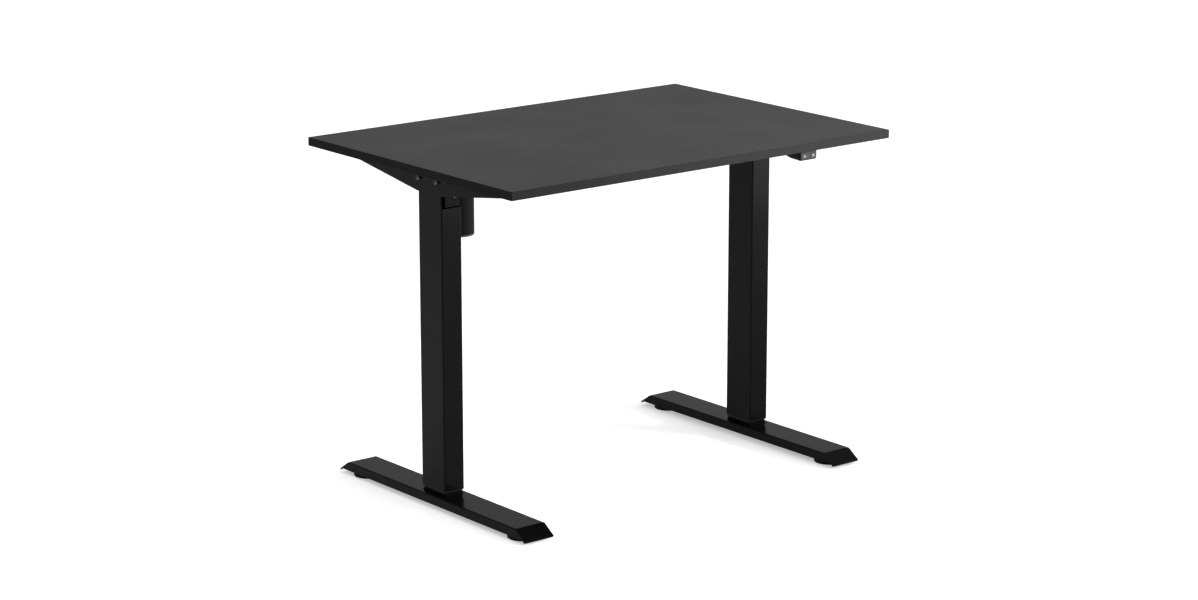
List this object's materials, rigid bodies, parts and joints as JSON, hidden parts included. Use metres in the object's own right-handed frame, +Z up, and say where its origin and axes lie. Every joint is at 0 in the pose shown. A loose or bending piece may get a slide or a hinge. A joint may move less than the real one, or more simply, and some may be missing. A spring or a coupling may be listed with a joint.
{
  "type": "height adjustable standing desk",
  "caption": "Black electric sit-stand desk with a thin rectangular top on telescopic T-legs, cross shaft drive, handset and levelling glides.",
  "frame": {"origin": "on the floor under the middle of the desktop", "axes": "+X to the right of a person sitting at the desk, +Y to the back, +Z up"},
  "size_m": [1, 0.7, 0.732],
  "materials": {
    "top_laminate": "matt anthracite melamine on chipboard",
    "edge_strip": "matt black edge strip",
    "black_powder_coat": "satin black powder coat",
    "black_casting": "black coated die casting",
    "motor_paint": "black paint, semi-gloss",
    "black_bolt": "black oxide, lightly oiled",
    "zinc_bolt": "zinc plated",
    "zinc_screw": "zinc plated",
    "bright_steel": "turned steel with a film of grease",
    "bearing_steel": "ground",
    "bronze": "machined",
    "rubber_pad": "matt",
    "sliding_plastic": "smooth",
    "nut_plastic": "natural acetal",
    "glide_plastic": "moulded",
    "black_plastic": "fine spark texture",
    "socket_plastic": "smooth",
    "handset_plastic": "fine spark texture",
    "handset_face": "semi-gloss",
    "button_plastic": "semi-matt",
    "circuit_board": "green solder mask"
  },
  "bodies": {
    "left_lower_leg": {"left_inner_tube": "black_powder_coat", "left_spindle_nut": "nut_plastic", "left_slide_pads": "sliding_plastic", "left_foot": "black_powder_coat", "left_foot_bolts": "zinc_bolt"},
    "upper_frame": {"desktop_board": "top_laminate", "edge_banding": "edge_strip", "damping_pads": "rubber_pad", "desktop_screws": "zinc_screw", "small_wood_screws": "zinc_screw", "left_side_bracket": "black_powder_coat", "right_side_bracket": "black_powder_coat", "bracket_bolts": "black_bolt", "crossbeam_sleeve": "black_powder_coat", "left_crossbeam_end": "black_powder_coat", "right_crossbeam_end": "black_powder_coat", "crossbeam_screws": "zinc_bolt", "left_outer_tube": "black_powder_coat", "right_outer_tube": "black_powder_coat", "left_guide_sleeve": "sliding_plastic", "right_guide_sleeve": "sliding_plastic", "left_gear_housing": "black_casting", "right_gear_housing": "black_casting", "bearing_lock_screws": "zinc_bolt", "shaft_bearings": "bearing_steel", "spindle_bearings": "bearing_steel", "motor_gearbox": "black_casting", "motor_can": "motor_paint", "motor_end_cap": "black_plastic", "handset_shell": "handset_plastic", "handset_face": "handset_face", "handset_board": "circuit_board", "control_box_base": "black_plastic", "control_box_cover": "black_plastic", "control_box_sockets": "socket_plastic", "control_board": "circuit_board"},
    "right_lower_leg": {"right_inner_tube": "black_powder_coat", "right_spindle_nut": "nut_plastic", "right_slide_pads": "sliding_plastic", "right_foot": "black_powder_coat", "right_foot_bolts": "zinc_bolt"},
    "drive_shaft": {"hex_shaft": "bright_steel", "worm_wheel": "bronze", "left_bevel_pinion": "bright_steel", "right_bevel_pinion": "bright_steel"},
    "left_screw": {"left_spindle": "bright_steel", "left_spindle_bevel": "bright_steel"},
    "right_screw": {"right_spindle": "bright_steel", "right_spindle_bevel": "bright_steel"},
    "motor_rotor": {"motor_armature": "bright_steel"},
    "up_button": {"up_button": "button_plastic"},
    "down_button": {"down_button": "button_plastic"},
    "left_front_glide": {"left_front_glide_pad": "glide_plastic", "left_front_glide_stud": "zinc_bolt"},
    "left_back_glide": {"left_back_glide_pad": "glide_plastic", "left_back_glide_stud": "zinc_bolt"},
    "right_front_glide": {"right_front_glide_pad": "glide_plastic", "right_front_glide_stud": "zinc_bolt"},
    "right_back_glide": {"right_back_glide_pad": "glide_plastic", "right_back_glide_stud": "zinc_bolt"}
  },
  "joints": [
    {"name": "left_lift", "type": "slide", "parent": "left_lower_leg", "child": "upper_frame", "axis": [0, 0, 1], "range_m": [0, 0.47]},
    {"name": "right_lift", "type": "slide", "parent": "upper_frame", "child": "right_lower_leg", "axis": [0, 0, -1], "range_m": [0, 0.47]},
    {"name": "shaft_spin", "type": "hinge", "parent": "upper_frame", "child": "drive_shaft", "pos_m": [0, 0, 0.676], "axis": [1, 0, 0], "continuous": true},
    {"name": "left_screw_spin", "type": "hinge", "parent": "upper_frame", "child": "left_screw", "pos_m": [-0.417, 0, 0.649], "axis": [0, 0, 1], "continuous": true},
    {"name": "right_screw_spin", "type": "hinge", "parent": "upper_frame", "child": "right_screw", "pos_m": [0.417, 0, 0.649], "axis": [0, 0, 1], "continuous": true},
    {"name": "motor_spin", "type": "hinge", "parent": "upper_frame", "child": "motor_rotor", "pos_m": [-0.355, 0.0195, 0.61], "axis": [0, 0, 1], "continuous": true},
    {"name": "up_button_press", "type": "slide", "parent": "upper_frame", "child": "up_button", "axis": [0, 1, 0], "range_m": [0, 0.0008], "stiffness_N_per_m": 1500, "springref_m": -0.0006},
    {"name": "down_button_press", "type": "slide", "parent": "upper_frame", "child": "down_button", "axis": [0, 1, 0], "range_m": [0, 0.0008], "stiffness_N_per_m": 1500, "springref_m": -0.0006},
    {"name": "left_front_glide_adjust", "type": "slide", "parent": "left_lower_leg", "child": "left_front_glide", "axis": [0, 0, -1], "range_m": [0, 0.008]},
    {"name": "left_back_glide_adjust", "type": "slide", "parent": "left_lower_leg", "child": "left_back_glide", "axis": [0, 0, -1], "range_m": [0, 0.008]},
    {"name": "right_front_glide_adjust", "type": "slide", "parent": "right_lower_leg", "child": "right_front_glide", "axis": [0, 0, -1], "range_m": [0, 0.008]},
    {"name": "right_back_glide_adjust", "type": "slide", "parent": "right_lower_leg", "child": "right_back_glide", "axis": [0, 0, -1], "range_m": [0, 0.008]}
  ],
  "couplings": [
    {"joint": "right_lift", "follows": "left_lift", "ratio": 1},
    {"joint": "shaft_spin", "follows": "left_lift", "rad_per_m": 628.32},
    {"joint": "left_screw_spin", "follows": "left_lift", "rad_per_m": 628.32},
    {"joint": "right_screw_spin", "follows": "left_lift", "rad_per_m": -628.32},
    {"joint": "motor_spin", "follows": "left_lift", "rad_per_m": -9110.6}
  ]
}
